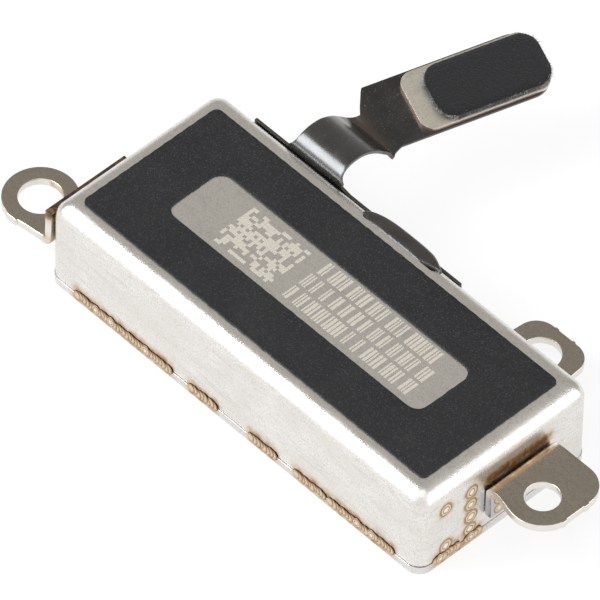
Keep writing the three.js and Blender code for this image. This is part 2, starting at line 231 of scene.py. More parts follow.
def steel(name, light, dark, rough, grain=0.0012, lines=(1.0, 1.0, 0.12), line_height=0.0008, pale=None):
    """Satin sheet steel: blotches, a blasted grain, faint drawn lines and heat tint. pale is the
    colour of a cut edge, where the surface has one, and of the painted highlight along the
    outside of an ear's bend."""
    s = Shader(name, Metallic=1.0)
    blotch = s.noise(1.6, 4.0)
    drawn = s.noise(0.12, 4.0, stretch=lines)
    fine = s.noise(0.055, 2.0)
    grit = s.noise(0.14)
    scuff = s.noise(0.35, 6.0, stretch=lines)
    layers = [
        (blotch, 0.35, 0.68, 0.6, dark),
        (drawn, 0.48, 0.75, 0.6, dark),
        (scuff, 0.56, 0.74, 0.4, darker(dark, 0.78)),
        (fine, 0.46, 0.66, 0.5, darker(dark, 0.72)),
        (grit, 0.52, 0.7, 0.35, darker(dark, 0.72)),
    ]
    if pale:
        layers.append((s.attribute("rim"), 0.15, 0.9, 1.0, pale))
        layers.append((s.attribute("blued"), 0.0, 1.0, 1.0, BLUED))
    uneven = s.range(s.noise(0.35, 4.0), 0.3, 0.7, 0.5, 1.25)
    heat = s.math("MULTIPLY", s.attribute("temper"), uneven)
    s.color(light, *layers, (heat, 0.04, 0.45, 1.0, s.ramp(heat, HEAT_STOPS)))
    s.roughness(blotch, rough - 0.05, rough + 0.07)
    s.bump((fine, 1.3 * grain), (grit, 0.7 * grain), (drawn, line_height))
    return s.material


can_steel = steel(
    "can_steel", (0.84, 0.818, 0.785), (0.73, 0.7, 0.65), 0.27, grain=0.0075,
    lines=(0.14, 0.45, 1.0), line_height=0.0005,
)
base_steel = steel("base_steel", (0.8, 0.78, 0.76), (0.64, 0.61, 0.58), 0.32, lines=(0.14, 0.45, 1.0))
# Its pale colour also paints a highlight along the outside of each ear's bend.
ear_steel = steel(
    "ear_steel", (0.47, 0.42, 0.355), (0.37, 0.325, 0.27), 0.27, grain=0.0022,
    lines=(0.25, 1.0, 1.0), pale=(0.78, 0.745, 0.7),
)
stiffener_steel = steel(
    "stiffener_steel", (0.74, 0.695, 0.61), (0.62, 0.57, 0.49), 0.4, grain=0.004,
    lines=(1.0, 0.3, 1.0), pale=(0.95, 0.62, 0.5),
)
spring_steel = steel("spring_steel", (0.7, 0.7, 0.69), (0.55, 0.54, 0.52), 0.28, lines=(1.0, 1.0, 0.2))
magnet_nickel = steel("magnet_nickel", (0.72, 0.7, 0.66), (0.62, 0.6, 0.56), 0.16, grain=0.0003)
mass_tungsten = steel("mass_tungsten", (0.33, 0.33, 0.34), (0.24, 0.24, 0.25), 0.46, grain=0.0022)


def weld_metal():
    """Spots of laser weld: a pale nugget inside rings of brown oxide."""
    s = Shader("weld_metal", Metallic=1.0)
    ring = s.attribute("ring")
    at = s.math("ADD", ring, s.range(s.noise(0.16), 0.2, 0.8, -0.09, 0.09))
    rings = s.ramp(at, [
        (0.0, (0.88, 0.84, 0.7)), (0.34, (0.82, 0.76, 0.6)), (0.44, (0.2, 0.11, 0.05)),
        (0.52, (0.6, 0.44, 0.27)), (0.62, (0.8, 0.7, 0.54)), (0.72, (0.62, 0.48, 0.33)),
        (0.8, (0.24, 0.13, 0.06)), (0.88, (0.52, 0.38, 0.25)), (1.0, (0.3, 0.18, 0.1)),
    ])
    crescent = s.ramp(at, [
        (0.0, (0.6, 0.46, 0.29)), (0.5, (0.74, 0.62, 0.44)), (0.66, (0.5, 0.34, 0.18)),
        (0.76, (0.62, 0.48, 0.31)), (0.86, (0.28, 0.17, 0.09)), (1.0, (0.3, 0.19, 0.11)),
    ])
    s.color(rings, (s.attribute("tone"), 0.0, 1.0, 1.0, crescent))
    s.put(s.shader.inputs["Roughness"], s.range(ring, 0.0, 1.0, 0.22, 0.42))
    s.bump((s.noise(0.05), 0.0012))
    return s.material


def surface(name, base, layers, rough, bumps, **sockets):
    """A Shader with colours laid over a base. A layer is (pattern, low, high, strength, colour),
    rough is (pattern, smoothest, roughest) and a bump is (pattern, height)."""
    s = Shader(name, **sockets)
    s.color(base, *[(s.pattern(layer[0]), *layer[1:]) for layer in layers])
    s.roughness(s.pattern(rough[0]), *rough[1:])
    if bumps:
        s.bump(*[(s.pattern(pattern), height) for pattern, height in bumps])
    return s


def moulded(name, light, dark, rough, grain=0.002):
    """Moulded or coated surface with a fine even grain."""
    return surface(
        name, light, [((1.1,), 0.35, 0.65, 1.0, dark)], ((0.08,), rough - 0.08, rough + 0.08),
        [((0.08,), grain)], Specular_IOR_Level=0.45,
    ).material


weld_finish = weld_metal()
# Printed film: matte black with a fine pale speckle.
label_finish = surface(
    "matte_label", (0.006, 0.006, 0.0072), [
        ((2.5, 4.0), 0.35, 0.65, 1.0, (0.01, 0.01, 0.0112)),
        ((0.045, 2.0), 0.56, 0.7, 0.7, (0.06, 0.06, 0.062)),
        ("rim", 0.8, 1.0, 0.12, (0.1, 0.1, 0.1)),
    ], ((0.045, 2.0), 0.62, 0.8), [((0.045, 2.0), 0.0016)], Specular_IOR_Level=0.35,
).material
# Steel whose grain a laser has frosted paler.
mark_finish = surface(
    "laser_mark", (0.6, 0.555, 0.49), [((0.05,), 0.3, 0.7, 1.0, (0.44, 0.405, 0.355))],
    ((0.05,), 0.5, 0.7), [((0.05,), 0.004)], Metallic=0.35,
).material
# Black coverlay of the circuit: dusty, glossier on the neck, brown where it thins at an edge.
coverlay = surface(
    "coverlay_film", (0.005, 0.0048, 0.0045), [
        ((1.2, 4.0), 0.35, 0.65, 1.0, (0.014, 0.012, 0.011)),
        ((0.06, 2.0), 0.64, 0.74, 0.6, (0.16, 0.15, 0.14)),
        ("valley", 0.0, 1.0, 1.0, (0.03, 0.019, 0.015)),
        ("rim", 0.55, 1.0, 0.8, (0.11, 0.095, 0.06)),
    ], ((1.2, 4.0), 0.19, 0.33), [((0.5,), 0.01), ((0.06, 2.0), 0.001)],
    Specular_IOR_Level=0.75, Coat_Roughness=0.22,
)
neck_gloss = coverlay.range(coverlay.attribute("gloss"), 0.0, 1.0, 0.0, 0.7)
coverlay.put(coverlay.shader.inputs["Coat Weight"], neck_gloss)
# Sealed fold of the circuit where it leaves the case: smooth dark film.
seal_finish = surface(
    "sealed_fold", (0.016, 0.014, 0.013), [
        ((0.9, 4.0), 0.35, 0.65, 1.0, (0.03, 0.026, 0.024)),
        ((0.05, 2.0), 0.68, 0.78, 0.5, (0.14, 0.14, 0.14)),
    ], ((0.9, 4.0), 0.18, 0.32), [((0.4,), 0.02), ((0.05, 2.0), 0.001)], Specular_IOR_Level=0.7,
).material
# Black open foam: a felted surface of pits and fibres.
foam_finish = surface(
    "foam", (0.004, 0.004, 0.0045), [
        ((0.09, 4.0, 0.6), 0.35, 0.7, 1.0, (0.013, 0.013, 0.0145)),
        ((0.05,), 0.62, 0.76, 0.5, (0.05, 0.05, 0.052)),
    ], ((0.09, 4.0, 0.6), 0.8, 0.97), [((0.09, 4.0, 0.6), 0.035), ((0.05,), 0.02)],
    Specular_IOR_Level=0.2, Sheen_Weight=0.25, Sheen_Roughness=0.5,
).material
fibre_finish = surface(
    "fibre_thread", (0.07, 0.07, 0.07), [((0.3,), 0.4, 0.6, 1.0, (0.46, 0.46, 0.45))],
    ((0.3,), 0.6, 0.8), [], Specular_IOR_Level=0.3,
).material
plug_finish = moulded("plug_plastic", (0.028, 0.028, 0.03), (0.04, 0.04, 0.042), 0.55)
rubber_finish = moulded("stop_rubber", (0.02, 0.02, 0.02), (0.03, 0.03, 0.03), 0.85, grain=0.006)
film_finish = moulded("amber_film", (0.34, 0.16, 0.035), (0.26, 0.11, 0.02), 0.42, grain=0.001)
chip_finish = moulded("chip_epoxy", (0.014, 0.014, 0.016), (0.022, 0.022, 0.024), 0.5)
gold_finish = surface(
    "plated_gold", (0.93, 0.7, 0.34), [((0.25,), 0.3, 0.7, 1.0, (0.8, 0.55, 0.24))],
    ((0.25,), 0.18, 0.34), [((0.04,), 0.0008)], Metallic=1.0,
).material
# Enamelled copper winding.
copper_finish = surface(
    "copper_wire", (0.68, 0.3, 0.14), [((0.5, 4.0), 0.3, 0.7, 1.0, (0.5, 0.2, 0.08))],
    ((0.5, 4.0), 0.25, 0.4), [((0.05,), 0.001)], Metallic=1.0, Coat_Weight=0.5, Coat_Roughness=0.15,
).material


# ---------- mesh tools ----------

def finish_mesh(bm, name, material, smooth_angle=35.0):
    """Turns a bmesh in millimetres into an object in metres."""
    bmesh.ops.recalc_face_normals(bm, faces=bm.faces[:])
    for face in bm.faces:
        face.smooth = True
    for edge in bm.edges:
        if len(edge.link_faces) == 2:
            edge.smooth = edge.calc_face_angle(0.0) < radians(smooth_angle)
    bmesh.ops.scale(bm, vec=(MM, MM, MM), verts=bm.verts[:])
    mesh = bpy.data.meshes.new(name)
    bm.to_mesh(mesh)
    bm.free()
    mesh.materials.append(material)
    obj = bpy.data.objects.new(name, mesh)
    scene.collection.objects.link(obj)
    return obj


def set_attribute(obj, name, values):
    layer = obj.data.attributes.new(name, "FLOAT", "POINT")
    layer.data.foreach_set("value", np.asarray(values, np.float32))


def points_of(obj):
    """An object's points, in millimetres."""
    flat = np.zeros(len(obj.data.vertices) * 3, np.float32)
    obj.data.vertices.foreach_get("co", flat)
    return flat.reshape(-1, 3).astype(float) / MM


def grid_faces(rows, columns, wrap=False):
    faces = []
    last = columns if wrap else columns - 1
    for row in range(rows - 1):
        for column in range(last):
            a = row * columns + column
            b = row * columns + (column + 1) % columns
            faces.append((a, b, b + columns, a + columns))
    return faces


def tube_faces(rows, around, first=0):
    """Faces of a tube through rings of points, closed at both ends."""
    faces = grid_faces(rows, around, wrap=True)
    faces += [tuple(range(around)), tuple(range((rows - 1) * around, rows * around))]
    return [tuple(first + i for i in face) for face in faces]


def from_faces(points, faces):
    bm = bmesh.new()
    verts = [bm.verts.new(tuple(map(float, point))) for point in points]
    for face in faces:
        bm.faces.new([verts[i] for i in face])
    return bm


def bake(obj, *settings):
    """Applies modifiers. Each is (kind, settings)."""
    for kind, values in settings:
        modifier = obj.modifiers.new(kind, kind)
        for key, value in values.items():
            setattr(modifier, key, value)
    evaluated = obj.evaluated_get(bpy.context.evaluated_depsgraph_get())
    mesh = bpy.data.meshes.new_from_object(evaluated)
    obj.modifiers.clear()
    obj.data = mesh


def arc(centre, radius, start, end, step=9.0):
    """Points round an arc, from one angle in degrees to another."""
    steps = max(2, ceil(abs(end - start) / step))
    angles = np.radians(np.linspace(start, end, steps + 1))
    return [(centre[0] + radius * cos(a), centre[1] + radius * sin(a)) for a in angles]


def rounded(points, radii, step=9.0):
    """Closed outline through points, each corner turned by an arc of its radius."""
    outline = []
    for i, point in enumerate(points):
        radius = radii[i] if isinstance(radii, (list, tuple)) else radii
        corner = np.array(point, float)
        if radius == 0:
            outline.append(tuple(corner))
            continue
        before = np.array(points[i - 1], float) - corner
        after = np.array(points[(i + 1) % len(points)], float) - corner
        before /= np.linalg.norm(before)
        after /= np.linalg.norm(after)
        half = acos(np.clip(before @ after, -1, 1)) / 2
        inward = (before + after) / np.linalg.norm(before + after)
        centre = corner + inward * radius / sin(half)
        start = corner + before * radius / tan(half) - centre
        end = corner + after * radius / tan(half) - centre
        first = degrees(atan2(start[1], start[0]))
        turn = (degrees(atan2(end[1], end[0])) - first + 180) % 360 - 180
        outline += arc(centre, radius, first, first + turn, step)
    return outline


def rectangle(x0, x1, y0, y1):
    return [(x0, y0), (x1, y0), (x1, y1), (x0, y1)]


def plate(outline, holes, z0, z1, bevel, segments=2):
    """Flat sheet between z0 and z1 with softened edges, as a bmesh."""
    bm = bmesh.new()
    edges = []
    for loop in [outline, *holes]:
        verts = [bm.verts.new((x, y, z0)) for x, y in loop]
        edges += [bm.edges.new((verts[i - 1], verts[i])) for i in range(len(verts))]
    bmesh.ops.triangle_fill(bm, edges=edges, use_beauty=True, normal=(0, 0, 1))
    made = bmesh.ops.extrude_face_region(bm, geom=bm.faces[:])["geom"]
    raised = [item for item in made if isinstance(item, bmesh.types.BMVert)]
    bmesh.ops.translate(bm, vec=(0, 0, z1 - z0), verts=raised)
    bmesh.ops.recalc_face_normals(bm, faces=bm.faces[:])
    level_change = [
        edge for edge in bm.edges
        if len(edge.link_faces) == 2
        and {abs(f.normal.z) > 0.5 for f in edge.link_faces} == {True, False}
    ]
    if bevel:
        bmesh.ops.bevel(
            bm, geom=level_change, offset=bevel, offset_type="OFFSET", segments=segments,
            profile=0.5, affect="EDGES", clamp_overlap=True,
        )
    return bm


def slice_mesh(bm, axis, places):
    """Cuts faces along planes square to an axis, so that the sheet can bend and carry detail."""
    unit = Vector((axis == 0, axis == 1, 0.0))
    for at in places:
        everything = bm.verts[:] + bm.edges[:] + bm.faces[:]
        bmesh.ops.bisect_plane(bm, geom=everything, dist=1e-4, plane_co=unit * float(at), plane_no=unit)


def distance_to(loops, xy):
    """Distance of each point from the nearest of the outlines."""
    nearest = np.full(len(xy), np.inf)
    for loop in loops:
        ends = np.array(loop, float)
        for p, q in zip(ends, np.roll(ends, -1, axis=0)):
            d = q - p
            t = np.clip(((xy - p) @ d) / max(d @ d, 1e-12), 0, 1)
            nearest = np.minimum(nearest, np.linalg.norm(xy - (p + t[:, None] * d), axis=1))
    return nearest


def block(bm, x, y, z):
    """Adds a box to a bmesh, from (low, high) along each axis."""
    centre = Matrix.Translation([(low + high) / 2 for low, high in (x, y, z)])
    size = Matrix.Diagonal([*(high - low for low, high in (x, y, z)), 1])
    bmesh.ops.create_cube(bm, size=1.0, matrix=centre @ size)


# ---------- where the welds are ----------

# Chains of overlapping spots along the seam, as [from, to]: X on the front wall, Y on the right one.
FRONT_CHAINS = [(-9.66, -3.93), (-2.5, -1.1), (1.2, 2.6), (4.0, 5.65), (6.1, 8.05), (8.25, 9.8)]
RIGHT_CHAINS = [(-4.0, -2.8), (-2.2, -1.55)]
# Larger single spots over the front chains, in X.
FRONT_NUGGETS = [-8.47, -7.53, -5.34, 7.75, 8.65]
# Single spots in Y and Z: through the end wall into a spring's clip, and through the right ear's leg.
CLIP_SPOTS = [(-2.0, 3.3), (-2.03, 2.5), (-2.0, 1.7), (-2.05, 0.93), (-3.5, 3.33), (-3.45, 0.95)]
LEG_SPOTS = [(-0.78, 2.28), (-0.76, 1.66), (0.75, 2.25), (0.78, 1.62), (2.15, 2.3), (2.12, 1.68)]
SEAM_Z = 0.42
SEAM_HALF_HEIGHT = 0.22
SEAM_HEAT = 0.52
SEAM_REACH = 0.34
STAIN = 0.75
CLIP_HEAT = 0.42
CLIP_REACH = 0.14
CLIP_RADIUS = 0.36


def glow(distance, reach):
    return np.exp(-(distance / reach) ** 2)


def seam_heat(points):
    """How hot each point was in welding, from 0 to 1. The rear and left walls repeat the
    front and right ones, turned half round."""
    heat = np.zeros(len(points))
    z = points[:, 2]
    off_seam = np.maximum(np.abs(z - SEAM_Z) - SEAM_HALF_HEIGHT, 0)
    for turn in (1, -1):
        x = turn * points[:, 0]
        y = turn * points[:, 1]
        seams = [(x, y + CASE_Y, chain) for chain in FRONT_CHAINS]
        seams += [(y, x - CASE_X, chain) for chain in RIGHT_CHAINS]
        for along, out, (low, high) in seams:
            past = np.maximum(np.maximum(low - along, along - high), 0)
            away = np.hypot(np.hypot(past, off_seam), out)
            heat = np.maximum(heat, SEAM_HEAT * glow(away, SEAM_REACH))
        for spot_y, spot_z in CLIP_SPOTS:
            away = np.hypot(np.hypot(y - spot_y, z - spot_z), x - CASE_X)
            heat = np.maximum(heat, CLIP_HEAT * glow(np.maximum(away - CLIP_RADIUS, 0), CLIP_REACH))
    return heat


# ---------- can ----------

def ring_points(length, width, radius, spacing, corner_steps=8):
    """Points round a rectangle with rounded corners, as many along each side for every size."""
    points = []
    for quadrant, (way_x, way_y) in enumerate([(-1, 0), (0, -1), (1, 0), (0, 1)]):
        side_x = 1 if quadrant in (0, 3) else -1
        side_y = 1 if quadrant < 2 else -1
        centre = (side_x * (length / 2 - radius), side_y * (width / 2 - radius))
        points += arc(centre, radius, 90 * quadrant, 90 * quadrant + 90, 90 / corner_steps)
        x, y = points[-1]
        reach = (width if quadrant % 2 else length) - 2 * radius
        count = ceil(2 * (CASE_Y if quadrant % 2 else CASE_X) / spacing)
        points += [(x + way_x * reach * k / count, y + way_y * reach * k / count) for k in range(1, count)]
    return points


def shell_rings(inset, top, soft=0.0):
    """Rings of the can's outside or inside, from the rim to the middle of the top."""
    bend = TOP_BEND - inset
    corner = CASE_CORNER - inset
    # A level is a height and how far its ring is pulled in.
    levels = [(RIM_Z, soft), (RIM_Z + soft, 0.0)] if soft else [(RIM_Z, 0.0)]
    levels += [(z, 0.0) for z in np.arange(RIM_Z + 0.2, top - bend - 0.05, 0.22)]
    levels += [(top - bend + rise, bend - run) for run, rise in arc((0, 0), bend, 0, 90, 90 / BEND_STEPS)]
    levels.append((top, bend + 0.05))
    rings = []
    for z, pulled in levels:
        radius = max(corner * (1 - pulled / bend), 0.08)
        length = 2 * (CASE_X - inset - pulled)
        width = 2 * (CASE_Y - inset - pulled)
        rings.append([(x, y, z) for x, y in ring_points(length, width, radius, 0.2)])
    return rings


def make_can():
    outside = shell_rings(0.0, TOP_Z, soft=0.03)
    inside = shell_rings(WALL, TOP_Z - WALL)
    count = len(outside[0])
    points = [p for ring in outside + inside for p in ring]
    faces = grid_faces(len(outside), count, wrap=True)
    start = len(outside) * count
    faces += [tuple(start + i for i in face) for face in grid_faces(len(inside), count, wrap=True)]
    faces += [(i, (i + 1) % count, start + (i + 1) % count, start + i) for i in range(count)]
    faces += [tuple(range(end - count, end)) for end in (start, len(points))]
    obj = finish_mesh(from_faces(points, faces), "can_shell", can_steel)
    # The notch that the circuit leaves by. Its ends slant.
    notch = rounded([(-1.9, 4.35), (2.4, 4.35), (2.9, 6.0), (-2.4, 6.0)], [0.2, 0.2, 0, 0])
    cutter = finish_mesh(plate(notch, [], 3.7, 6.0, bevel=0), "notch_cutter", can_steel)
    bake(obj, ("BOOLEAN", {"operation": "DIFFERENCE", "object": cutter, "solver": "EXACT"}))
    bpy.data.objects.remove(cutter)
    set_attribute(obj, "temper", can_heat(points_of(obj)))
    return obj


def can_heat(points):
    """Weld heat, and the stain on the wall above the right ear's bend."""
    heat = seam_heat(points)
    x, y, z = points.T
    above = glow(z - 3.3, 0.34)
    along = 1 / (1 + np.exp(-(y + 1.2) / 0.12)) * 1 / (1 + np.exp((y - 2.75) / 0.12))
    on_wall = np.abs(x - CASE_X) < 0.02
    return np.maximum(heat, STAIN * above * along * on_wall)


def make_base():
    outline = rounded(rectangle(-BASE_X, BASE_X, -BASE_Y, BASE_Y), CASE_CORNER + BASE_X - CASE_X)
    bm = plate(outline, [], base_low[2], BASE_TOP, bevel=0.05, segments=3)
    slice_mesh(bm, 0, np.arange(-BASE_X + 0.2, BASE_X, 0.25))
    slice_mesh(bm, 1, np.arange(-BASE_Y + 0.2, BASE_Y, 0.5))
    obj = finish_mesh(bm, "base_sheet", base_steel)
    set_attribute(obj, "temper", seam_heat(points_of(obj)))
    return obj


can_shell = make_can()
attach(can_shell, "housing")
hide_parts("can")
base_sheet = make_base()
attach(base_sheet, "housing")
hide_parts("base_plate")


# ---------- label and its marks ----------

def wavy(outline, amount):
    """Moves an outline's points in and out a little, as a die-cut film's edge."""
    moved = []
    for x, y in outline:
        shift = amount * (sin(x * 6.1 + 1.3) * sin(y * 5.3 + 0.4) + sin((x - y) * 9.7))
        length = hypot(x, y)
        moved.append((x + shift * x / length, y + shift * y / length))
    return moved


def dense(outline, spacing):
    """Adds points along an outline's long stretches."""
    points = []
    for i, (x, y) in enumerate(outline):
        px, py = outline[i - 1]
        steps = max(1, ceil(hypot(x - px, y - py) / spacing))
        points += [(px + (x - px) * k / steps, py + (y - py) * k / steps) for k in range(1, steps + 1)]
    return points


WINDOW_X = 15.55 / 2
WINDOW_Y = 3.32 / 2


def make_label():
    x, y, top = label_high
    outer = wavy(dense(rounded(rectangle(-x, x, -y, y), 0.3), 0.2), 0.012)
    window = wavy(dense(rounded(rectangle(-WINDOW_X, WINDOW_X, -WINDOW_Y, WINDOW_Y), 0.6), 0.2), 0.008)
    bm = plate(outer, [window], TOP_Z + 0.004, top, bevel=0.02)
    slice_mesh(bm, 0, np.arange(-10.5, 10.6, 0.25))
    slice_mesh(bm, 1, np.arange(-3.95, 4.0, 0.25))
    obj = finish_mesh(bm, "label_sheet", label_finish)
    away = distance_to([outer, window], points_of(obj)[:, :2])
    set_attribute(obj, "rim", np.clip(1 - away / 0.12, 0, 1))
    return obj


label_sheet = make_label()
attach(label_sheet, "housing")
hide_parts("label_film")


def make_marks():
    """Frosted laser marks in the window: a block of random cells, and rows of plain upright bars."""
    bm = bmesh.new()
    z = (TOP_Z - 0.004, TOP_Z + 0.006)
    cell = 0.17
    for column in range(21):
        for row in range(15):
            if rng.random() < 0.58:
                x = -5.33 + column * cell
                y = -1.29 + row * cell
                block(bm, (x, x + cell * 0.98), (y, y + cell * 0.98), z)
    # A row of bars is its first X, its lower Y and its number of groups.
    for start, low, groups in [(-0.85, 0.68, 12), (-0.95, -0.3, 13), (-0.95, -1.28, 13)]:
        for k in range(groups):
            x = start + k * 0.59
            for _ in range(rng.integers(2, 4)):
                wide = rng.choice([0.08, 0.11, 0.15])
                block(bm, (x, x + wide), (low, low + 0.8), z)
                x += wide + 0.06
    return finish_mesh(bm, "laser_marks", mark_finish)


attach(make_marks(), "housing")


# ---------- weld spots ----------

# A spot's rings: share of its radius, and height above the wall.
RINGS = [
    (0.0, 0.014), (0.18, 0.0135), (0.3, 0.012), (0.38, 0.009), (0.46, 0.0105), (0.56, 0.01),
    (0.66, 0.006), (0.74, 0.008), (0.82, 0.008), (0.9, 0.004), (0.96, 0.001), (1.0, -0.006),
]
SPOT_SIDES = 22
SPOT_GAP = 0.004


def weld_spots(name, spots):
    """One piece of lens-shaped spots. A spot is (centre, radius, outward, tilt, tone, crown)."""
    points = []
    faces = []
    values = []
    for centre, radius, outward, tilt, tone, crown in spots:
        outward = np.array((*outward, 0.0))
        along = np.array((-outward[1], outward[0], 0.0))
        first = len(points)
        flattened = 1 + 0.12 * (rng.random() - 0.5)
        for at, height in RINGS:
            for k in range(SPOT_SIDES):
                angle = 2 * pi * k / SPOT_SIDES
                u = at * radius * cos(angle)
                v = at * radius * sin(angle) * flattened
                lift = height + crown * (1 - at ** 4) + tilt * u
                points.append(centre + along * u + np.cross(outward, along) * v + outward * lift)
                values.append((at, tone))
        faces += [tuple(first + i for i in face) for face in grid_faces(len(RINGS), SPOT_SIDES, wrap=True)]
    bm = from_faces(points, faces)
    layers = [bm.verts.layers.float.new(layer) for layer in ("ring", "tone")]
    for vert, pair in zip(bm.verts, values):
        for layer, value in zip(layers, pair):
            vert[layer] = value
    bmesh.ops.remove_doubles(bm, verts=bm.verts[:], dist=1e-6)
    return finish_mesh(bm, name, weld_finish, smooth_angle=60.0)


def chain_spots(low, high, wall, outward, nuggets):
    """Overlapping spots along the seam of the wall that faces outward, then its larger nuggets."""
    spots = []
    out = np.array((*outward, 0.0))
    axis = np.abs((outward[1], outward[0], 0.0))
    count = max(1, round((high - low) / 0.19))
    for k in range(count + 1):
        at = low + (high - low) * k / count
        radius = 0.245 * (0.88 + 0.24 * rng.random())
        z = SEAM_Z - 0.03 + 0.08 * (rng.random() - 0.5)
        centre = out * (wall + SPOT_GAP) + axis * at + (0, 0, z)
        spots.append((centre, radius, outward, 0.085, 0.75 + 0.25 * rng.random(), 0.0))
    for at in nuggets:
        if low <= at <= high:
            centre = out * (wall + SPOT_GAP) + axis * at + (0, 0, SEAM_Z)
            spots.append((centre, 0.27, outward, 0.0, 0.0, 0.03))
    return spots


def seam_welds():
    spots = []
    for low, high in FRONT_CHAINS:
        spots += chain_spots(low, high, BASE_Y, (0, -1), FRONT_NUGGETS)
        spots += chain_spots(-high, -low, BASE_Y, (0, 1), [-x for x in FRONT_NUGGETS])
    for low, high in RIGHT_CHAINS:
        spots += chain_spots(low, high, BASE_X, (1, 0), [low + 0.2])
        spots += chain_spots(-high, -low, BASE_X, (-1, 0), [-low - 0.2])
    return spots


def clip_welds():
    spots = []
    for side in (-1, 1):
        for y, z in CLIP_SPOTS:
            radius = 0.4 * (0.94 + 0.12 * rng.random())
            spots.append(((side * (CASE_X + SPOT_GAP), side * y, z), radius, (side, 0), 0.0, 0.0, 0.0))
    return spots


def leg_welds():
    face = CASE_X + EAR_WALL_GAP + EAR_SHEET
    return [((face + SPOT_GAP, y, z), 0.3, (1, 0), 0.0, 0.25, 0.0) for y, z in LEG_SPOTS]


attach(weld_spots("seam_welds", seam_welds()), "housing")
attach(weld_spots("wall_welds", clip_welds()), "housing")
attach(weld_spots("leg_welds", leg_welds()), "housing")


# ---------- fastening ears ----------

INNER_BEND = 0.1
MID_BEND = INNER_BEND + EAR_SHEET / 2
LEG_X = CASE_X + EAR_WALL_GAP


class Ear:
    """A stamped ear, drawn flat in its own frame and bent: x outwards from the wall, y to its left."""

    def __init__(self, node, turn, leg_x, top, leg_end, blued=0.0):
        self.node = node
        self.blued = blued
        self.turn = radians(turn)
        self.top = top
        self.down = leg_end < top
        self.bend_x = leg_x + EAR_SHEET + INNER_BEND
        self.bend_z = top - EAR_SHEET - INNER_BEND if self.down else top + INNER_BEND
        self.flat_end = self.bend_x - MID_BEND * pi / 2 - abs(self.bend_z - leg_end)

    def place(self, x, y, z):
        """Where a point of the flat sheet goes. z is the height above the sheet's middle."""
        along = self.bend_x - x
        sign = 1 if self.down else -1
        if along > 0:
            angle = min(along / MID_BEND, pi / 2)
            beyond = max(along - MID_BEND * pi / 2, 0)
            radius = MID_BEND + sign * z
            x = self.bend_x - radius * sin(angle)
            z = self.bend_z + sign * (radius * cos(angle) - beyond)
        else:
            z += self.top - EAR_SHEET / 2
        c, s = cos(self.turn), sin(self.turn)
        return (x * c - y * s, x * s + y * c, z)

    def build(self, name, outline, centre, radius, heat):
        """Cuts the flat outline with its round hole, bends it and puts it on the case."""
        hole = arc(centre, radius, 0, 351)
        bm = plate(outline, [hole], -EAR_SHEET / 2, EAR_SHEET / 2, bevel=0.055, segments=3)
        slice_mesh(bm, 0, np.arange(self.bend_x - MID_BEND * pi / 2, self.bend_x + 0.02, 0.059))
        for axis in (0, 1):
            ends = [point[axis] for point in outline]
            slice_mesh(bm, axis, np.arange(min(ends) + 0.12, max(ends), 0.25))
        flat = np.array([v.co for v in bm.verts])
        rim = np.where(np.abs(flat[:, 2]) < EAR_SHEET / 2 - 0.008, 1.0, 0.0)
        if self.down:
            # Painted highlight: a pale line along the outside of the bend, laid on in the cut-edge colour.
            rim = np.maximum(rim, 0.8 * glow(flat[:, 0] - self.bend_x + 0.16, 0.14) * (flat[:, 2] > 0))
        for vert in bm.verts:
            vert.co = self.place(*vert.co)
        obj = finish_mesh(bm, name, ear_steel)
        set_attribute(obj, "rim", rim)
        set_attribute(obj, "temper", heat(flat))
        set_attribute(obj, "blued", self.blued * (flat[:, 0] < self.bend_x - 0.5))
        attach(obj, "housing")
        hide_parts(self.node)


def nib(edge, low, high):
    """Stub of a tie bar on an edge that runs in +y at x = edge."""
    return [(edge, low), (edge + 0.05, low + 0.03), (edge + 0.05, high - 0.03), (edge, high)]


def make_right_ear():
    ear = Ear("right_bracket", 0, LEG_X, 3.1, 1.25, blued=0.8)
    end = ear.flat_end
    centre = (13.59, 0.14)
    outline = [(end, -1.2), (11.9, -1.2), (12.35, -1.22)]
    outline += arc(centre, 1.62, -104, -16, 7.0)
    outline += nib(15.16, -0.25, 0.05) + nib(15.16, 1.05, 1.35)
    outline += arc((13.86, 1.42), 1.3, 0, 90)
    outline += [(12.3, 2.72), (11.9, 2.7), (end, 2.7)]

    def heat(flat):
        x = flat[:, 0]
        return 0.02 * glow(x - ear.bend_x + 0.35, 0.25) + 0.06 * (x < ear.bend_x - 0.5)

    ear.build("right_ear", outline, centre, 0.79, heat)


def make_left_ear():
    ear = Ear("left_bracket", 180, LEG_X, 2.1, 3.84)
    end = ear.flat_end
    centre = (13.76, 3.38)
    outline = [(end, 0.2), (12.12, 0.2)]
    outline += arc((12.96, 1.18), 0.55, 200, 128)
    outline += arc(centre, 1.71, -121, 78, 7.0)
    outline += [(14.1, 5.06), (14.08, 5.1), (13.47, 5.1), (13.45, 5.02), (12.9, 4.95), (12.1, 4.86)]
    outline.append((end, 4.82))

    def heat(flat):
        x, y, _ = flat.T
        round_hole = glow(np.hypot(x - centre[0], y - centre[1]) - 0.99, 0.06)
        near_wall = (x < centre[0] + 0.4) * (y < centre[1])
        bend = glow(x - ear.bend_x + 0.3, 0.45)
        return np.clip(0.34 * bend + 0.95 * glow(x - end, 0.5) + 0.35 * round_hole * near_wall, 0, 1)

    ear.build("left_ear", outline, centre, 0.99, heat)


def make_rear_ear():
    ear = Ear("rear_bracket", 90, CASE_Y + EAR_WALL_GAP, 1.2, 3.2)
    end = ear.flat_end
    outline = [(end, -8.58), (5.9, -8.58)]
    outline += arc((7.3, -7.46), 1.0, -90, -6)
    outline += nib(8.3, -7.3, -7.1) + nib(8.3, -6.3, -6.05)
    outline += arc((7.3, -5.95), 1.0, 3, 90)
    outline += [(5.9, -4.82), (end, -4.82)]

    def heat(flat):
        return 0.35 * glow(flat[:, 0] - ear.bend_x + 0.3, 0.4)

    ear.build("rear_ear", outline, (6.8, -6.7), 0.92, heat)


make_right_ear()
make_left_ear()
make_rear_ear()


# ---------- flexible circuit: band, neck and head in one sheet ----------

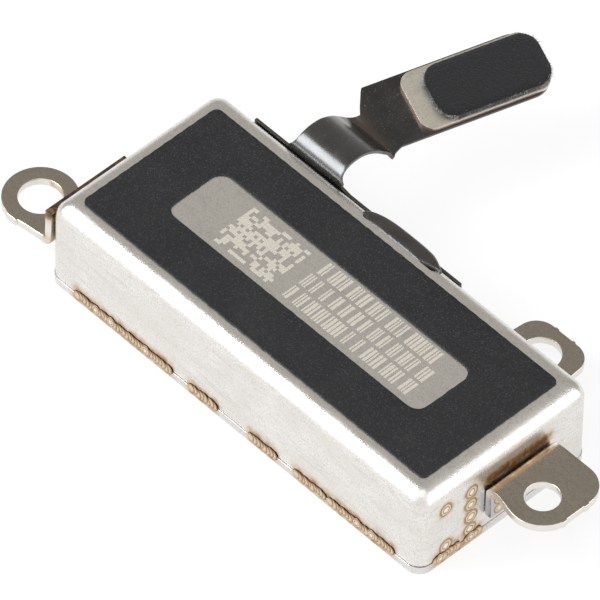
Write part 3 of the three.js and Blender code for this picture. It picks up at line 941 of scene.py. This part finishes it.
FLEX = 0.15
SHARP = radians(50)
WALL_FACE = 5.105
COLUMNS = 25
BAND_ROWS = 9
# The neck's arch, as Y and Z, from the band to the head's fold.
NECK_PATH = [
    (WALL_FACE, 4.36), (5.16, 4.52), (5.32, 4.76), (5.62, 4.98), (6.1, 5.1), (6.7, 5.04), (7.3, 4.74),
    (7.8, 4.32), (8.2, 3.94),
]
TAIL_TURN = Euler((radians(5), radians(11), radians(-17)), "ZXY")
TAIL_PLACE = Matrix.Translation((-5.43, 8.51, 3.75)) @ TAIL_TURN.to_matrix().to_4x4()
HEAD_U = (-2.42, 0.87)
HEAD_END = 8.45
HEAD_CORNER = 1.1


def in_head(u, v, w=0.0):
    """A point of the head's own frame: u across, v along, w up."""
    return np.array(TAIL_PLACE @ Vector((u, v, w)))


def smooth_path(points, count):
    """A smooth line through points, at even steps of arc length."""
    p = np.array(points, float)
    p = np.vstack([2 * p[0] - p[1], p, 2 * p[-1] - p[-2]])
    t = np.linspace(0, 1, 12, endpoint=False)[:, None]
    pieces = []
    for a, b, c, d in zip(p, p[1:], p[2:], p[3:]):
        curve = 2 * b + (c - a) * t + (2 * a - 5 * b + 4 * c - d) * t ** 2
        pieces.append(0.5 * (curve + (3 * b - a - 3 * c + d) * t ** 3))
    fine = np.vstack([*pieces, p[-2]])
    reach = np.concatenate([[0], np.cumsum(np.linalg.norm(np.diff(fine, axis=0), axis=1))])
    at = np.linspace(0, reach[-1], count)
    return np.stack([np.interp(at, reach, column) for column in fine.T], 1)


def corner_inset(at, end, radius):
    """How far a rounded corner pulls an edge in, at a place near its end."""
    into = max(radius - (end - at), 0.0)
    return radius - sqrt(max(radius ** 2 - min(into, radius) ** 2, 0.0))


def circuit_rows():
    """Left and right ends of each cross line of the middle strip, with how deep in a valley it is."""
    rows = []
    for z in np.linspace(band_low[2], band_high[2], BAND_ROWS):
        rows.append((np.array((-7.2, WALL_FACE, z)), np.array((-3.92, WALL_FACE, z)), 0.0))
    for k, (y, z) in enumerate(smooth_path(NECK_PATH, 30)[1:]):
        flare = 0.27 * exp(-k / 1.6)
        valley = max(0.0, (k - 24) / 5)
        rows.append((np.array((-6.93 - flare, y, z)), np.array((-4.19 + flare, y, z)), valley))
    fold = in_head(-1.2, -0.14, 0.03), in_head(1.27, 0.29, 0.03)
    last = rows[-1]
    for t in (0.25, 0.5, 0.75):
        dip = np.array((0, 0, -0.06 * sin(pi * t)))
        rows.append((*(last[side] + (fold[side] - last[side]) * t + dip for side in (0, 1)), 1.0))
    rows.append((*fold, 0.8))
    for t in (0.3, 0.6, 0.85, 1.0):
        u0 = -1.2 + (HEAD_U[0] + 1.2) * min(1.0, t / 0.97) - 0.06 * (1 - t)
        u1 = 1.27 + (HEAD_U[1] - 1.27) * t ** 0.6
        rows.append((in_head(u0, -0.14 + 0.64 * t), in_head(u1, 0.29 + 0.61 * t), 0.3 * (1 - t)))
    straight = np.linspace(1.1, HEAD_END - HEAD_CORNER, 22)
    round_end = HEAD_END - HEAD_CORNER * (1 - np.sin(np.linspace(0.1, 1, 11) * pi / 2))
    for v in [*straight, *round_end]:
        pulled = corner_inset(v, HEAD_END, HEAD_CORNER)
        rows.append((in_head(HEAD_U[0] + pulled, v), in_head(HEAD_U[1] - pulled, v), 0.0))
    return rows


def make_circuit():
    rows = circuit_rows()
    shares = np.linspace(0, 1, COLUMNS)
    points = [left + (right_end - left) * t for left, right_end, _ in rows for t in shares]
    valleys = [valley for _, _, valley in rows for _ in range(COLUMNS)]
    faces = grid_faces(len(rows), COLUMNS)
    # The band reaches on along the wall from both sides of the strip.
    for side, end, steps in ((0, band_low[0], 10), (COLUMNS - 1, band_high[0], 30)):
        first = len(points)
        for row in range(BAND_ROWS):
            x0, y, z = points[row * COLUMNS + side]
            low_round = corner_inset(-z, -band_low[2], 0.3)
            for k in range(1, steps + 1):
                x = x0 + (end - x0) * k / steps
                x -= copysign(low_round * (k / steps) ** 6, end)
                lowered = 0.06 * (side > 0) * min(1.0, k / 2)
                points.append(np.array((x, y, z - lowered * (z - band_low[2]))))
        for row in range(BAND_ROWS - 1):
            for k in range(steps):
                a = first + row * steps + k - 1 if k else row * COLUMNS + side
                d = first + (row + 1) * steps + k - 1 if k else (row + 1) * COLUMNS + side
                b = first + row * steps + k
                c = first + (row + 1) * steps + k
                faces.append((a, b, c, d) if side else (b, a, d, c))
    sheet = np.array(points)
    obj = finish_mesh(from_faces(sheet, faces), "flex_circuit", coverlay.material)
    bake(
        obj,
        ("SOLIDIFY", {"thickness": FLEX * MM, "offset": 0.0, "use_even_offset": True}),
        ("BEVEL", {"width": 0.03 * MM, "segments": 2, "limit_method": "ANGLE", "angle_limit": SHARP}),
    )
    made = points_of(obj)
    nearest, _ = closest(sheet, made)
    valleys += [0.0] * (len(sheet) - len(valleys))
    set_attribute(obj, "valley", np.array(valleys)[nearest])
    row_of = nearest // COLUMNS
    set_attribute(obj, "gloss", (row_of > BAND_ROWS) * (row_of < BAND_ROWS + 24))
    _, away = closest(edge_points(sheet, faces), made)
    set_attribute(obj, "rim", np.clip(1.25 - away / 0.12, 0, 1))
    return obj


def closest(points, places):
    """The number of the nearest point to each place, and its distance."""
    tree = KDTree(len(points))
    for i, point in enumerate(points):
        tree.insert(Vector(point), i)
    tree.balance()
    found = [tree.find(Vector(place)) for place in places]
    return np.array([i for _, i, _ in found]), np.array([distance for _, _, distance in found])


def edge_points(points, faces):
    """Points closely spaced along a sheet's open edges."""
    seen = {}
    for face in faces:
        for i, a in enumerate(face):
            key = frozenset((a, face[i - 1]))
            seen[key] = seen.get(key, 0) + 1
    open_edges = [tuple(key) for key, count in seen.items() if count == 1]
    shares = np.linspace(0, 1, 6)
    return np.array([points[a] + (points[b] - points[a]) * t for a, b in open_edges for t in shares])


flex_circuit = make_circuit()
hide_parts("flex_band", "flex_neck", "flex_head")
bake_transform(flex_circuit)


# ---------- sealed fold in the notch ----------

def make_seal():
    """Smooth swelling that fills the notch and reaches just past the wall."""
    stations = 46
    around = 28
    points = []
    for t in np.linspace(0, 1, stations):
        swell = sqrt(max(1 - abs(2 * t - 1) ** 3, 0.0))
        taper = 1 - 0.45 * max(0.0, (t - 0.78) / 0.22) ** 1.5
        inner = 4.22 + 0.46 * max(0.0, (t - 0.76) / 0.24) ** 0.8 + 0.3 * max(0.0, (0.12 - t) / 0.12)
        outer = 4.62 + 0.66 * swell * taper
        inner = min(inner, outer - 0.08)
        top = 4.7 + 0.17 * swell * taper
        low = 4.4 - 0.35 * swell
        for k in range(around):
            angle = 2 * pi * k / around
            c, s = (copysign(abs(part) ** 0.8, part) for part in (cos(angle), sin(angle)))
            # The top leans down towards the outside.
            lean = 0.05 * max(0.0, (outer - inner) * c / max(outer - inner, 0.1)) * (s > 0)
            y = (inner + outer + (outer - inner) * c) / 2
            z = (top + low + (top - low) * s) / 2 - lean
            points.append((-2.12 + 4.84 * t, y, z))
    bm = from_faces(points, tube_faces(stations, around))
    return finish_mesh(bm, "flex_seal", seal_finish, smooth_angle=70.0)


flex_seal = make_seal()
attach(flex_seal, "housing")
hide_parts("flex_exit")


# ---------- stiffener and foam on the head ----------

STIFFENER = 0.2
GLUE = 0.03
FOAM_OUTLINE = rounded(rectangle(HEAD_U[0] + 0.4, HEAD_U[1] - 0.15, 2.95, 8.4), 0.85, 7.0)
FOAM_Z = (0.31, 0.7)
RIPPLE = 0.0012
FIBRES_PER_STEP = 8


def make_stiffener():
    outline = rounded(rectangle(HEAD_U[0] + 0.16, HEAD_U[1] - 0.09, 2.05, 8.3), 0.65, 7.0)
    high = FLEX / 2 + GLUE + STIFFENER
    bm = plate(outline, [], FLEX / 2 + 0.004, high, bevel=0.055, segments=3)
    slice_mesh(bm, 1, np.arange(2.1, 8.3, 0.2))
    slice_mesh(bm, 0, np.arange(HEAD_U[0] + 0.2, HEAD_U[1], 0.2))
    rim = [vert.co.z < high - 0.008 for vert in bm.verts]
    bm.transform(TAIL_PLACE)
    obj = finish_mesh(bm, "stiffener", stiffener_steel)
    set_attribute(obj, "rim", rim)
    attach(obj, "tail_head")
    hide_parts("stiffener_plate")


def make_foam():
    bm = plate(dense(FOAM_OUTLINE, 0.07), [], *FOAM_Z, bevel=0.07, segments=3)
    slice_mesh(bm, 1, np.arange(3.0, 8.2, 0.09))
    slice_mesh(bm, 0, np.arange(HEAD_U[0] + 0.52, HEAD_U[1] - 0.2, 0.09))
    draws = rng.random((6, 4))
    far = distance_to([FOAM_OUTLINE], np.array([vert.co[:2] for vert in bm.verts]))
    for vert, away in zip(bm.verts, far):
        x, y, z = vert.co
        crown = -0.05 * exp(-away / 0.12) if z > 0.5 else 0.0
        amount = 0.0
        for a, b, c, d in draws:
            amount += RIPPLE * sin(x * (7 + 16 * a) + y * (5 + 18 * b) + 9 * c) * (0.4 + d)
        vert.co.z += (amount + crown) * (z > 0.45)
        if away < 0.1:
            vert.co.x += 0.7 * amount
            vert.co.y += 0.7 * amount
    bm.transform(TAIL_PLACE)
    obj = finish_mesh(bm, "foam_block", foam_finish, smooth_angle=60.0)
    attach(obj, "tail_head")
    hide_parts("foam_pad")


def make_fibres():
    """Loose fibres along the foam's cut edge."""
    points = []
    faces = []
    for x, y in dense(FOAM_OUTLINE, 0.1):
        for _ in range(FIBRES_PER_STEP):
            outward = np.array((x + 0.8, (y - 5.5) * 0.5, 0.0))
            outward /= np.linalg.norm(outward)
            start = np.array((x, y, 0.42 + 0.22 * rng.random())) - outward * 0.08
            way = outward * (0.5 + 0.5 * rng.random()) + (rng.random(3) - 0.5) * (1.4, 1.4, 0.9)
            way /= np.linalg.norm(way)
            bend = (rng.random(3) - 0.5) * 0.16
            length = 0.09 + 0.11 * rng.random()
            side = np.cross(way, (0.3, 0.2, 1.0))
            side /= np.linalg.norm(side)
            other = np.cross(way, side)
            first = len(points)
            for t in np.linspace(0, 1, 5):
                centre = start + way * length * t + bend * t * t
                thick = 0.009 * (1 - 0.7 * t)
                for k in range(4):
                    angle = pi / 2 * k
                    points.append(centre + thick * (side * cos(angle) + other * sin(angle)))
            faces += tube_faces(5, 4, first)
    bm = from_faces(points, faces)
    bm.transform(TAIL_PLACE)
    obj = finish_mesh(bm, "foam_fibres", fibre_finish)
    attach(obj, "tail_head")


make_stiffener()
make_foam()
make_fibres()


# ---------- leaf springs ----------

def make_spring(side_name, side):
    """One folded leaf from the end wall to the mass, built in its resting shape. The real leaf bends as the
    mass slides.
    """
    low, high = node_box(f"spring_{side_name}")
    thickness = 0.15
    soft = 0.02
    near, far = sorted((abs(low[0]), abs(high[0])))
    mass_x = near + thickness / 2
    wall_x = far - thickness / 2
    path = [(mass_x, 4.0), (mass_x, 2.6), (mass_x, 1.8), (mass_x + 0.25, 1.0)]
    path += arc(((mass_x + wall_x) / 2, -3.4), 0.5, 180, 360, 30.0)
    path += [(wall_x - 0.25, 1.0), (wall_x, 1.8), (wall_x, 2.6), (wall_x, 4.0)]
    middle = side * smooth_path(path, 110)
    way = np.gradient(middle, axis=0)
    way /= np.linalg.norm(way, axis=1)[:, None]
    across = np.stack([-way[:, 1], way[:, 0]], 1)
    flank = thickness / 2
    # The strip stands on edge. Its section runs up one flank and down the other.
    section = [(flank - soft, low[2]), (flank, low[2] + soft)]
    section += [(flank, high[2] - soft), (flank - soft, high[2])]
    section += [(-out, z) for out, z in reversed(section)]
    points = [(*(spot + out * unit), z) for spot, unit in zip(middle, across) for out, z in section]
    bm = from_faces(points, tube_faces(len(middle), len(section)))
    obj = finish_mesh(bm, f"leaf_spring_{side_name}", spring_steel)
    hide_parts(f"spring_{side_name}")
    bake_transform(obj)


make_spring("right", 1)
make_spring("left", -1)


# ---------- coils ----------

COIL_BUNDLE = 1.4
WIRE = 0.14


def winding_section(bundle, height, wire):
    """Outline of a wound bundle, scalloped by its wires: offsets inward and heights."""
    bulge = np.radians([155, 125, 90, 55, 25])

    def scallops(length, angles):
        """Each point's place along a side of the bundle, and its share of a wire below the face."""
        count = round(length / wire)
        half = length / count / 2
        return [(half * (2 * k + 1 + cos(a)), 1 - sin(a)) for k in range(count) for a in angles]

    half_u = bundle / round(bundle / wire) / 2
    half_z = height / round(height / wire) / 2
    section = [(along, height - half_z * dip) for along, dip in scallops(bundle, bulge)]
    section += [(bundle - half_u * dip, height - along) for along, dip in scallops(height, bulge[::-1])]
    section += [(bundle - along, half_z * dip) for along, dip in scallops(bundle, bulge)]
    section += [(half_u * dip, along) for along, dip in scallops(height, bulge[::-1])]
    return section


def make_coil(node):
    """A flat coil of enamelled wire, wound on a rounded rectangle."""
    low, high = node_box(node)
    middle = (low + high) / 2
    length, width, height = high - low
    section = winding_section(COIL_BUNDLE, height, WIRE)
    points = []
    for inset, z in section:
        turn = ring_points(length - 2 * inset, width - 2 * inset, 1.6 - inset, COIL_BUNDLE, corner_steps=6)
        points += [(middle[0] + x, middle[1] + y, low[2] + z) for x, y in turn]
    count = len(turn)
    faces = grid_faces(len(section), count, wrap=True)
    last = (len(section) - 1) * count
    faces += [(last + i, last + (i + 1) % count, (i + 1) % count, i) for i in range(count)]
    obj = finish_mesh(from_faces(points, faces), f"winding_{node}", copper_finish, smooth_angle=50.0)
    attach(obj, "housing")
    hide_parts(node)


for level in ("lower", "upper"):
    for side_name in ("left", "right"):
        make_coil(f"{level}_coil_{side_name}")


# ---------- carried-over CAD nodes ----------

def assign(material, *nodes, soften=0.02):
    for node in nodes:
        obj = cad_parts[node]
        obj.data.materials.clear()
        obj.data.materials.append(material)
        soft = obj.modifiers.new("soft edges", "BEVEL")
        soft.width = soften * MM
        soft.segments = 2
        soft.limit_method = "ANGLE"
        soft.angle_limit = radians(40)


assign(plug_finish, "plug_body")
assign(gold_finish, "contact_row_left", "contact_row_right", "hold_down_near", "hold_down_far", soften=0.008)
assign(mass_tungsten, "mass_frame", soften=0.04)
assign(magnet_nickel, "magnet_left", "magnet_centre", "magnet_right", soften=0.06)
assign(spring_steel, "mass_clip_left", "mass_clip_right", "wall_clip_left", "wall_clip_right")
assign(rubber_finish, "stop_pad_left", "stop_pad_right", soften=0.08)
assign(film_finish, "lower_coil_flex", "upper_coil_flex", soften=0.01)
assign(chip_finish, "position_sensor", soften=0.03)


# ---------- floor and light ----------

def area_light(name, spot, size, power, color=(1.0, 1.0, 1.0)):
    data = bpy.data.lights.new(name, "AREA")
    data.energy = power
    data.color = color
    data.size = size
    light = bpy.data.objects.new(name, data)
    light.location = spot
    light.rotation_euler = Vector(spot).to_track_quat("Z", "Y").to_euler()
    scene.collection.objects.link(light)


half = 400.0
floor_z = base_low[2] - 0.01
floor_mesh = from_faces([(x, y, floor_z) for x, y in rectangle(-half, half, -half, half)], [(0, 1, 2, 3)])
floor_look = Shader("floor", Roughness=0.9, Specular_IOR_Level=0.1, Emission_Strength=0.86)
floor_look.shader.inputs["Base Color"].default_value = (0.12, 0.12, 0.12, 1.0)
floor_look.shader.inputs["Emission Color"].default_value = (1.0, 1.0, 1.0, 1.0)
floor = finish_mesh(floor_mesh, "floor", floor_look.material)

# A bright studio with a broad grey panel behind the object, which its top mirrors.
open_air = 1.3
panel = 0.64
scene.world = bpy.data.worlds.new("studio")
scene.world.use_nodes = True
nodes = Nodes(scene.world.node_tree)
toward = nodes.add("ShaderNodeVectorMath", {"operation": "DOT_PRODUCT"})
nodes.put(toward.inputs[0], nodes.add("ShaderNodeTexCoord").outputs["Generated"])
toward.inputs[1].default_value = Vector((-back.x, -back.y, 0.0)).normalized()
behind = nodes.range(toward.outputs["Value"], -0.25, 0.12)
shade = nodes.ramp(behind, [(0.0, (open_air,) * 3), (1.0, (panel * 1.03, panel, panel * 0.94))])
background = nodes.tree.nodes["Background"]
nodes.put(background.inputs["Color"], shade)
background.inputs["Strength"].default_value = 0.72

area_light("key", (0.1, -0.05, 0.3), 0.16, 0.1)
area_light("left_box", (-0.168, -0.208, 0.242), 0.22, 1.45, (0.94, 0.97, 1.0))
area_light("front_box", (-0.2, -0.32, 0.19), 0.3, 0.08)
area_light("end_box", (0.355, 0.19, 0.105), 0.32, 0.62)
scene.view_settings.view_transform = "Standard"
